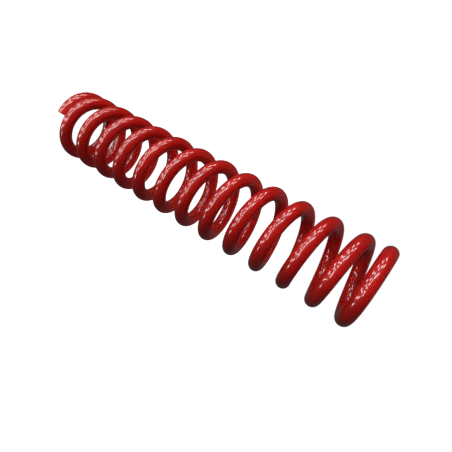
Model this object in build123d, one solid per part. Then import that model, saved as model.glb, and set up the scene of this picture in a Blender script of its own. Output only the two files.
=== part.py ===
from build123d import *

import os
from math import ceil, cos, pi, radians, sin

# Round-wire compression spring, wound left-handed, standing on its ground end.
#
# The wire is one solid: a round section carried along a coil whose pitch eases from a
# nearly flat, closed end coil to the open active coils, and eases again towards the free
# end. The closed end is ground square to the axis and is the seat that the spring stands
# on. The other end is left unground, with its wire cropped square and its edge broken.
#
# Millimetres. +Z runs along the coil axis, from the ground seat at Z = 0 to the free end.

# --- driving dimensions -------------------------------------------------------------
WIRE_DIAMETER = 8.0
COIL_MEAN_DIAMETER = 40.0
TOTAL_TURNS = 13.25
ACTIVE_PITCH = 17.7

# closed end: a flat end coil, then a quick ease up to the active pitch
CLOSED_END_TURNS = 0.6
CLOSED_END_EASE_TURNS = 0.25
CLOSED_COIL_GAP = 0.25
GROUND_DEPTH_AT_TIP = 3.1

# free end: the pitch eases down again, but the tip stays clear of the coil below it
FREE_END_PITCH = 5.6
FREE_END_TURNS = 0.18
FREE_END_EASE_TURNS = 0.5

TIP_EDGE_BREAK = 0.6
GROUND_TIP_ANGLE = 0.0
SECTIONS_PER_TURN = 24

# --- derived sizes ------------------------------------------------------------------
wire_radius = WIRE_DIAMETER / 2
coil_radius = COIL_MEAN_DIAMETER / 2
outer_radius = coil_radius + wire_radius
tip_height = wire_radius - GROUND_DEPTH_AT_TIP

# the end coil climbs just enough for the coil above it to pass over its tip
first_turn_open_share = 1 - CLOSED_END_TURNS - CLOSED_END_EASE_TURNS / 2
closed_end_pitch = (
    WIRE_DIAMETER + CLOSED_COIL_GAP - ACTIVE_PITCH * first_turn_open_share
) / (1 - first_turn_open_share)

closed_end_stop = CLOSED_END_TURNS + CLOSED_END_EASE_TURNS
free_end_start = TOTAL_TURNS - FREE_END_TURNS - FREE_END_EASE_TURNS


def ease_progress(turns, ease_turns):
    """How far a smooth ease has gone, from 0 to 1."""
    share = min(max(turns / ease_turns, 0.0), 1.0)
    return share * share * (3 - 2 * share)


def ease_rise(turns, ease_turns):
    """Turns since a smooth ease began, each counted by its ease_progress."""
    share = min(max(turns / ease_turns, 0.0), 1.0)
    return ease_turns * (share**3 - share**4 / 2) + max(turns - ease_turns, 0.0)


def blend_pitches(turn, ease):
    """Sum of the three pitches, each counted by how far its ease has gone."""
    opened = ease(turn - CLOSED_END_TURNS, CLOSED_END_EASE_TURNS)
    narrowed = ease(turn - free_end_start, FREE_END_EASE_TURNS)
    opening = (ACTIVE_PITCH - closed_end_pitch) * opened
    narrowing = (ACTIVE_PITCH - FREE_END_PITCH) * narrowed
    return opening - narrowing


def wire_height(turn):
    """Height of the wire's centre, so many turns from the ground tip."""
    return tip_height + closed_end_pitch * turn + blend_pitches(turn, ease_rise)


def wire_pitch(turn):
    """Climb in millimetres per turn, at a point along the wire."""
    return closed_end_pitch + blend_pitches(turn, ease_progress)


def wire_section(turn):
    """Round section of the wire, square to it."""
    # the angle falls as the coil climbs, which winds it left-handed
    angle = radians(GROUND_TIP_ANGLE) - 2 * pi * turn
    outward = Vector(cos(angle), sin(angle), 0)
    centre = outward * coil_radius + Vector(0, 0, wire_height(turn))
    turn_length = 2 * pi * coil_radius
    along = Vector(sin(angle), -cos(angle), 0) * turn_length + Vector(0, 0, wire_pitch(turn))
    return Plane(origin=centre, x_dir=outward, z_dir=along) * Circle(wire_radius)


def end_coil(first_turn, last_turn):
    """Wire whose pitch changes along it, lofted through its sections."""
    spans = ceil((last_turn - first_turn) * SECTIONS_PER_TURN)
    step = (last_turn - first_turn) / spans
    return loft([wire_section(first_turn + i * step) for i in range(spans + 1)])


def active_coils(first_turn, last_turn):
    """Wire of constant pitch, swept along a true helix."""
    climb = wire_height(last_turn) - wire_height(first_turn)
    helix = Helix(ACTIVE_PITCH, climb, coil_radius, lefthand=True)
    start = Pos(0, 0, wire_height(first_turn)) * Rot(0, 0, GROUND_TIP_ANGLE - 360 * first_turn)
    return sweep(wire_section(first_turn), path=start * helix, is_frenet=True)


def with_broken_tip_edge(wire):
    """Breaks the sharp edge of the cropped wire at the free end."""
    tip_face = wire.faces().filter_by(GeomType.PLANE).sort_by(Axis.Z)[-1]
    return fillet(tip_face.edges(), TIP_EDGE_BREAK)


def grinding_waste():
    """Everything below the seat, which the grinding wheel takes away."""
    side = 2 * outer_radius + WIRE_DIAMETER
    return Pos(0, 0, -WIRE_DIAMETER / 2) * Box(side, side, WIRE_DIAMETER)


def spring():
    seat_coil = end_coil(0, closed_end_stop) - grinding_waste()
    free_coil = with_broken_tip_edge(end_coil(free_end_start, TOTAL_TURNS))
    return seat_coil + active_coils(closed_end_stop, free_end_start) + free_coil


os.makedirs("parts", exist_ok=True)
export_step(spring(), "parts/spring.step")
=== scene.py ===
"""A red coated compression spring, standing on its ground end on a pale studio floor.

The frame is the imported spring. The wire is modelled again here, from the same coil
dimensions, as a smooth mesh with a glossy coating. Metres, +Z up along the coil axis.
"""

from math import atan2, ceil, cos, pi, radians, sin

import bmesh
import bpy
from mathutils import Matrix, Vector

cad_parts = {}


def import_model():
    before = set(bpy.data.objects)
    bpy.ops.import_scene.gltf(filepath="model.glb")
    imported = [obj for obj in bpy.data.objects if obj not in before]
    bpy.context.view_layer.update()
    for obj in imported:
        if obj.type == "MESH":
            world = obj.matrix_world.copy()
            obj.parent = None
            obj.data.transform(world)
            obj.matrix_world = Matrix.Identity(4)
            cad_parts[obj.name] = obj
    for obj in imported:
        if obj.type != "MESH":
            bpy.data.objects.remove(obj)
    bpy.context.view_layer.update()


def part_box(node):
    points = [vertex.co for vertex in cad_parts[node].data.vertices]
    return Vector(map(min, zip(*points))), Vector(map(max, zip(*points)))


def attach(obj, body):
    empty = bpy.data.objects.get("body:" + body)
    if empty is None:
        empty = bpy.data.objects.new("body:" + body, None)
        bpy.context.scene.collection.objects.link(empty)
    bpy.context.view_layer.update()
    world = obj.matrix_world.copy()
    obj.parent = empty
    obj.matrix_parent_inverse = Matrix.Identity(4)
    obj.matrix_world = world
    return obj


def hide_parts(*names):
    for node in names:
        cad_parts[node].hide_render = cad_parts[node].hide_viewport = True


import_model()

MM = 0.001
WHITE = (1.0, 1.0, 1.0, 1.0)

# --- the coil, in millimetres ---------------------------------------------------------
WIRE_DIAMETER = 8.0
COIL_MEAN_DIAMETER = 40.0
TOTAL_TURNS = 13.25
ACTIVE_PITCH = 17.7

CLOSED_END_TURNS = 0.6
CLOSED_END_EASE_TURNS = 0.25
CLOSED_COIL_GAP = 0.25
GROUND_DEPTH_AT_TIP = 3.1

FREE_END_PITCH = 5.6
FREE_END_TURNS = 0.18
FREE_END_EASE_TURNS = 0.5
TIP_EDGE_BREAK = 0.6

# --- the mesh: its fineness, tolerances in millimetres and an angle in degrees ----------
STEPS_PER_TURN = 112
SIDES_OF_WIRE = 48
TIP_EDGE_SEGMENTS = 4
JOIN_TOLERANCE = 0.001
SEAT_TOLERANCE = 0.0001
SHARP_EDGE_ANGLE = 50

# --- the coating: grain sizes and bump depths in millimetres ----------------------------
DEEP_RED = (0.40, 0.004, 0.002, 1.0)
BRIGHT_RED = (0.62, 0.008, 0.004, 1.0)
RED_ROUGHNESS = 0.30
RED_SPECULAR = 0.12
COAT_ROUGHNESS = 0.04
LACQUER_IOR = 1.5
NOISE_MIDDLE = 0.5
BLOTCH_SIZE = 14.0
BLOTCH_DETAIL = 3.0
BLOTCH_CONTRAST = 1.6
BLOTCH_SHIFT = 0.3
BLOTCH_ROUGHNESS = 0.10
GRAIN_SIZE = 1.1
GRAIN_DETAIL = 2.0
GRAIN_CONTRAST = 0.12
BUMP_DETAIL = 1.0
PEEL_SIZE = 2.2
PEEL_DEPTH = 0.0006
SPECKLE_SIZE = 0.45
SPECKLE_DEPTH = 0.00005

# --- the camera: places as shares of the spring's height, angles in degrees -------------
CAMERA_OFF_AXIS = 0.8561
CAMERA_HEIGHT = 0.9503
CAMERA_AZIMUTH = -2.2437
CAMERA_HEADING = 174.739
CAMERA_DIP = 21.7126
CAMERA_ROLL = 120.8787
# its lens in millimetres, and the nearest and farthest that it sees, in metres
CAMERA_LENS = 27.994
CAMERA_NEAR = 0.01
CAMERA_FAR = 100.0

# --- the lights round the spring, in metres, watts and degrees --------------------------
LAMP_DISTANCE = 1.2
LAMP_RINGS = (32, 56, 78)
LAMP_BEARINGS = range(-108, 33, 20)
LAMP_RING_STAGGER = 10
LAMP_SIZE = (0.13, 0.22)
LAMP_POWER = 1.5
KEY_DISTANCE = 0.65
KEY_RING = 40
KEY_BEARING = -15
KEY_SIZE = (0.55, 0.55)
KEY_POWER = 4.7
FILL_DISTANCE = 0.65
FILL_RING = 125
FILL_BEARING = 110
FILL_SIZE = (0.55, 0.55)
FILL_POWER = 3.0

# --- the room and its floor, in metres --------------------------------------------------
ROOM_LIGHT = 0.055
BACKDROP_GLOW = 1.0
FLOOR_RADIUS = 12.0
FLOOR_SIDES = 96
FLOOR_GREY = (0.5, 0.5, 0.5, 1.0)
FLOOR_ROUGHNESS = 0.9
FLOOR_GLOW = 1.0

wire_radius = WIRE_DIAMETER / 2
coil_radius = COIL_MEAN_DIAMETER / 2
tip_height = wire_radius - GROUND_DEPTH_AT_TIP

first_turn_open_share = 1 - CLOSED_END_TURNS - CLOSED_END_EASE_TURNS / 2
closed_end_pitch = (
    WIRE_DIAMETER + CLOSED_COIL_GAP - ACTIVE_PITCH * first_turn_open_share
) / (1 - first_turn_open_share)
closed_end_stop = CLOSED_END_TURNS + CLOSED_END_EASE_TURNS
free_end_start = TOTAL_TURNS - FREE_END_TURNS - FREE_END_EASE_TURNS


def ease_share(turns, ease_turns):
    """Share of an ease that has been wound, from 0 to 1."""
    return min(max(turns / ease_turns, 0.0), 1.0)


def ease_progress(turns, ease_turns):
    """How far a smooth ease has gone, from 0 to 1."""
    share = ease_share(turns, ease_turns)
    return share * share * (3 - 2 * share)


def ease_rise(turns, ease_turns):
    """Turns since a smooth ease began, each counted by how far the ease had gone."""
    share = ease_share(turns, ease_turns)
    return ease_turns * (share**3 - share**4 / 2) + max(turns - ease_turns, 0.0)


def pitch_changes(turn, ease):
    """What the opening and the narrowing change: the pitch, or the height with ease_rise."""
    opened = ease(turn - CLOSED_END_TURNS, CLOSED_END_EASE_TURNS)
    narrowed = ease(turn - free_end_start, FREE_END_EASE_TURNS)
    opening = (ACTIVE_PITCH - closed_end_pitch) * opened
    narrowing = (ACTIVE_PITCH - FREE_END_PITCH) * narrowed
    return opening - narrowing


def wire_height(turn):
    """Height of the wire's centre, so many turns from the ground tip."""
    return tip_height + closed_end_pitch * turn + pitch_changes(turn, ease_rise)


def wire_lead(turn):
    """Angle at which the wire climbs, so many turns from the ground tip."""
    pitch = closed_end_pitch + pitch_changes(turn, ease_progress)
    return atan2(pitch, 2 * pi * coil_radius)


# --- the wire -------------------------------------------------------------------------
def wire_section(bm, turn):
    """Round section, square to the wire, so many turns from the ground tip."""
    ring = bmesh.ops.create_circle(bm, segments=SIDES_OF_WIRE, radius=wire_radius * MM)
    stood_up = Matrix.Rotation(radians(90) - wire_lead(turn), 4, "X")
    out_and_up = Matrix.Translation(Vector((coil_radius, 0, wire_height(turn))) * MM)
    # the angle falls as the coil climbs, which winds it left-handed
    around = Matrix.Rotation(-2 * pi * turn, 4, "Z")
    bmesh.ops.transform(bm, matrix=around @ out_and_up @ stood_up, verts=ring["verts"])
    return bm.verts[:] + bm.edges[:]


def wind(bm, section, turn, next_turn, steps):
    """Spins the section round the axis as it climbs evenly, and returns it where it stops."""
    rise = (wire_height(next_turn) - wire_height(turn)) * MM
    spun = bmesh.ops.spin(
        bm, geom=section, cent=(0, 0, 0), axis=(0, 0, -1), dvec=(0, 0, rise / steps),
        angle=2 * pi * (next_turn - turn), steps=steps, use_merge=False, use_duplicate=False,
    )
    return spun["geom_last"]


def even_wire(first_turn, last_turn):
    """Wire of constant pitch."""
    bm = bmesh.new()
    steps = ceil((last_turn - first_turn) * STEPS_PER_TURN)
    wind(bm, wire_section(bm, first_turn), first_turn, last_turn, steps)
    return bm


def easing_wire(first_turn, last_turn):
    """Wire whose pitch changes, so that its section leans anew at each step."""
    bm = bmesh.new()
    section = wire_section(bm, first_turn)
    steps = ceil((last_turn - first_turn) * STEPS_PER_TURN)
    turns = [first_turn + (last_turn - first_turn) * step / steps for step in range(steps + 1)]
    for turn, next_turn in zip(turns, turns[1:]):
        section = wind(bm, section, turn, next_turn, 1)
        outward = Matrix.Rotation(-2 * pi * next_turn, 3, "Z") @ Vector((coil_radius * MM, 0, 0))
        centre = outward + Vector((0, 0, wire_height(next_turn) * MM))
        more_lean = wire_lead(next_turn) - wire_lead(turn)
        bmesh.ops.rotate(
            bm, cent=centre, matrix=Matrix.Rotation(-more_lean, 3, outward),
            verts=[part for part in section if isinstance(part, bmesh.types.BMVert)],
        )
    return bm


def join_stretch(bm, stretch, lift=0.0):
    """Adds a copy of a stretch of wire, lifted by so many metres."""
    mesh = bpy.data.meshes.new("stretch")
    stretch.to_mesh(mesh)
    mesh.transform(Matrix.Translation((0, 0, lift)))
    bm.from_mesh(mesh)
    bpy.data.meshes.remove(mesh)


def wound_wire():
    """The whole wire: two ends whose pitch eases, and the same open coil again and again."""
    whole_coils = int(free_end_start - closed_end_stop)
    last_coil_start = closed_end_stop + whole_coils
    closed_end = easing_wire(0, closed_end_stop)
    open_coil = even_wire(closed_end_stop, closed_end_stop + 1)
    last_coil = even_wire(last_coil_start, free_end_start)
    free_end = easing_wire(free_end_start, TOTAL_TURNS)

    bm = bmesh.new()
    join_stretch(bm, closed_end)
    for coil in range(whole_coils):
        join_stretch(bm, open_coil, coil * ACTIVE_PITCH * MM)
    join_stretch(bm, last_coil)
    join_stretch(bm, free_end)
    for stretch in (closed_end, open_coil, last_coil, free_end):
        stretch.free()
    bmesh.ops.remove_doubles(bm, verts=bm.verts, dist=JOIN_TOLERANCE * MM)
    return bm


def close_ends(bm):
    """Caps the two cropped ends of the wire and breaks their sharp edges."""
    open_edges = [edge for edge in bm.edges if edge.is_boundary]
    caps = bmesh.ops.edgeloop_fill(bm, edges=open_edges)["faces"]
    bmesh.ops.recalc_face_normals(bm, faces=bm.faces)
    rims = [edge for cap in caps for edge in cap.edges]
    bmesh.ops.bevel(
        bm, geom=rims, offset=TIP_EDGE_BREAK * MM, offset_type="OFFSET",
        affect="EDGES", segments=TIP_EDGE_SEGMENTS, profile=0.5, material=-1,
    )


def grind_seat(bm):
    """Takes away what lies below the seat and closes the flat face that is left."""
    everything = bm.verts[:] + bm.edges[:] + bm.faces[:]
    cut = bmesh.ops.bisect_plane(
        bm, geom=everything, dist=SEAT_TOLERANCE * MM, plane_co=(0, 0, 0), plane_no=(0, 0, 1),
        clear_inner=True,
    )
    outline = [part for part in cut["geom_cut"] if isinstance(part, bmesh.types.BMEdge)]
    bmesh.ops.triangle_fill(bm, edges=outline, use_beauty=True, normal=(0, 0, -1))
    bmesh.ops.recalc_face_normals(bm, faces=bm.faces)


def coated_spring():
    """The wound wire as one smooth object, with its ends closed and its seat ground."""
    bm = wound_wire()
    close_ends(bm)
    grind_seat(bm)
    mesh = bpy.data.meshes.new("coated_spring")
    bm.to_mesh(mesh)
    bm.free()
    mesh.shade_smooth()
    mesh.set_sharp_from_angle(angle=radians(SHARP_EDGE_ANGLE))
    spring = bpy.data.objects.new("coated_spring", mesh)
    bpy.context.scene.collection.objects.link(spring)
    return spring


# --- nodes and materials --------------------------------------------------------------
class Socket:
    """What a node gives out; sums on it become Math nodes."""

    def __init__(self, tree, link):
        self.tree = tree
        self.link = link

    def _math(self, operation, *values, clamp=False):
        return self.tree.node(
            "ShaderNodeMath", dict(operation=operation, use_clamp=clamp), values
        )

    def __add__(self, other):
        return self._math("ADD", self, other)

    def __sub__(self, other):
        return self._math("SUBTRACT", self, other)

    def __rsub__(self, other):
        return self._math("SUBTRACT", other, self)

    def __mul__(self, other):
        return self._math("MULTIPLY", self, other)

    __radd__ = __add__
    __rmul__ = __mul__

    def clamped(self):
        return self._math("ADD", self, 0.0, clamp=True)


class NodeTree:
    """The nodes of a material or a world, all made by one method."""

    def __init__(self, owner):
        owner.use_nodes = True
        self.nodes = owner.node_tree.nodes
        self.links = owner.node_tree.links
        self.nodes.clear()

    def node(self, kind, settings=None, values=(), output=0):
        """Makes a node, sets it up, then feeds its sockets with numbers or links."""
        node = self.nodes.new(kind)
        for name, value in (settings or {}).items():
            setattr(node, name, value)
        pairs = values.items() if isinstance(values, dict) else enumerate(values)
        for name, value in pairs:
            if isinstance(value, Socket):
                self.links.new(value.link, node.inputs[name])
            else:
                node.inputs[name].default_value = value
        return Socket(self, node.outputs[output]) if node.outputs else None


class Finish(NodeTree):
    """A material and the patterns that its finish is made of."""

    def __init__(self, name):
        self.material = bpy.data.materials.new(name)
        super().__init__(self.material)

    def places(self):
        """Places on the piece, in metres from its origin."""
        return self.node("ShaderNodeTexCoord", output="Object")

    def noise(self, places, size_mm, detail):
        """Noise from 0 to 1 whose blotches are about so many millimetres across."""
        values = {"Vector": places, "Scale": 1 / (size_mm * MM), "Detail": detail}
        return self.node("ShaderNodeTexNoise", None, values)

    def blend(self, share, color_a, color_b):
        """From one colour to the other as the share goes from 0 to 1."""
        values = {"Factor": share, "A": color_a, "B": color_b}
        return self.node("ShaderNodeMix", dict(data_type="RGBA"), values, output="Result")

    def bump(self, height, depth_mm, normal=None):
        """Normal of a surface raised by so many millimetres where the height is 1."""
        values = {"Height": height, "Distance": depth_mm * MM, "Strength": 1.0}
        if normal is not None:
            values["Normal"] = normal
        return self.node("ShaderNodeBump", None, values)

    def shade(self, values):
        """Gives the material its one shader, and returns the material."""
        surface = self.node("ShaderNodeBsdfPrincipled", None, values)
        self.node("ShaderNodeOutputMaterial", None, {"Surface": surface})
        return self.material


def red_coating():
    """Red under a clear coat: a little blotched, with a fine orange peel and a finer speckle."""
    finish = Finish("red_coating")
    places = finish.places()
    blotches = finish.noise(places, BLOTCH_SIZE, BLOTCH_DETAIL)
    grain = finish.noise(places, GRAIN_SIZE, GRAIN_DETAIL)
    grain_tone = (grain - NOISE_MIDDLE) * GRAIN_CONTRAST
    tone = (blotches * BLOTCH_CONTRAST - BLOTCH_SHIFT + grain_tone).clamped()
    peel = finish.bump(finish.noise(places, PEEL_SIZE, BUMP_DETAIL), PEEL_DEPTH)
    speckle = finish.bump(finish.noise(places, SPECKLE_SIZE, BUMP_DETAIL), SPECKLE_DEPTH, peel)
    return finish.shade({
        "Base Color": finish.blend(tone, DEEP_RED, BRIGHT_RED),
        "Roughness": RED_ROUGHNESS + blotches * BLOTCH_ROUGHNESS,
        "Specular IOR Level": RED_SPECULAR,
        "IOR": LACQUER_IOR,
        "Coat Weight": 1.0,
        "Coat Roughness": COAT_ROUGHNESS,
        "Coat IOR": LACQUER_IOR,
        "Normal": speckle,
        "Coat Normal": speckle,
    })


def pale_floor():
    """Matt studio floor that glows white, so that it stays pale in shade."""
    finish = Finish("pale_floor")
    return finish.shade({
        "Base Color": FLOOR_GREY,
        "Roughness": FLOOR_ROUGHNESS,
        "Specular IOR Level": 0.0,
        "Emission Color": WHITE,
        "Emission Strength": FLOOR_GLOW,
    })


# --- the studio -----------------------------------------------------------------------
def camera(spring_height):
    """The camera looks down on the spring's side and is rolled well over."""
    azimuth = radians(CAMERA_AZIMUTH)
    off_axis = CAMERA_OFF_AXIS * spring_height
    place = Vector((off_axis * cos(azimuth), off_axis * sin(azimuth), 0))
    place.z = CAMERA_HEIGHT * spring_height
    heading = radians(CAMERA_HEADING)
    dip = radians(CAMERA_DIP)
    ahead = Vector((cos(dip) * cos(heading), cos(dip) * sin(heading), -sin(dip)))
    level = ahead.to_track_quat("-Z", "Y").to_matrix().to_4x4()
    rolled = level @ Matrix.Rotation(radians(CAMERA_ROLL), 4, "Z")
    data = bpy.data.cameras.new("studio_camera")
    data.lens = CAMERA_LENS
    data.clip_start = CAMERA_NEAR
    data.clip_end = CAMERA_FAR
    shot = bpy.data.objects.new("studio_camera", data)
    shot.matrix_world = Matrix.Translation(place) @ rolled
    bpy.context.scene.collection.objects.link(shot)
    bpy.context.scene.camera = shot
    return shot


def light(name, shot, target, distance, ring, bearing, size, power):
    """Panel that faces the target, so many degrees from the camera and round from its top."""
    swing = Matrix.Rotation(radians(-bearing), 4, "Z") @ Matrix.Rotation(radians(-ring), 4, "X")
    facing = shot.matrix_world.to_3x3().to_4x4() @ swing
    data = bpy.data.lights.new(name, "AREA")
    data.shape = "RECTANGLE"
    data.size, data.size_y = size
    data.energy = power
    panel = bpy.data.objects.new(name, data)
    panel.matrix_world = Matrix.Translation(target) @ facing @ Matrix.Translation((0, 0, distance))
    bpy.context.scene.collection.objects.link(panel)
    return panel


def lights(shot, foot, top):
    """Rows of lamps that glint on the coating, a soft key light and a fill from behind."""
    for row, ring in enumerate(LAMP_RINGS):
        for column, bearing in enumerate(LAMP_BEARINGS):
            turned = bearing + LAMP_RING_STAGGER * (row % 2)
            lamp = light(
                f"lamp_{row}_{column}", shot, (foot + top) / 2, LAMP_DISTANCE,
                ring, turned, LAMP_SIZE, LAMP_POWER,
            )
            lamp.visible_diffuse = False
    key = light("key", shot, top, KEY_DISTANCE, KEY_RING, KEY_BEARING, KEY_SIZE, KEY_POWER)
    key.visible_glossy = False
    fill = light("fill", shot, top, FILL_DISTANCE, FILL_RING, FILL_BEARING, FILL_SIZE, FILL_POWER)
    fill.visible_glossy = False


def world():
    """White to look at, and dim as a light, so that the lamps shape the wire."""
    room = bpy.data.worlds.new("studio")
    tree = NodeTree(room)
    seen = tree.node("ShaderNodeLightPath", output="Is Camera Ray")
    shares = {"Factor": seen, "A": ROOM_LIGHT, "B": BACKDROP_GLOW}
    strength = tree.node("ShaderNodeMix", None, shares, output="Result")
    back = tree.node("ShaderNodeBackground", None, {"Color": WHITE, "Strength": strength})
    tree.node("ShaderNodeOutputWorld", None, {"Surface": back})
    bpy.context.scene.world = room


def floor():
    """Wide round floor, which is scenery and no part of the spring."""
    bm = bmesh.new()
    bmesh.ops.create_circle(bm, cap_ends=True, segments=FLOOR_SIDES, radius=FLOOR_RADIUS)
    mesh = bpy.data.meshes.new("studio_floor")
    bm.to_mesh(mesh)
    bm.free()
    ground = bpy.data.objects.new("studio_floor", mesh)
    bpy.context.scene.collection.objects.link(ground)
    mesh.materials.append(pale_floor())
    # most of the lamps hang below the floor, which lets their light past
    ground.visible_shadow = False
    ground.visible_glossy = False
    ground.visible_diffuse = False


spring = coated_spring()
spring.data.materials.append(red_coating())
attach(spring, "root")
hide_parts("spring")

low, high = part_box("spring")
shot = camera(high.z)
lights(shot, Vector((0, 0, low.z)), Vector((0, 0, high.z)))
world()
floor()
bpy.context.scene.view_settings.view_transform = "Standard"
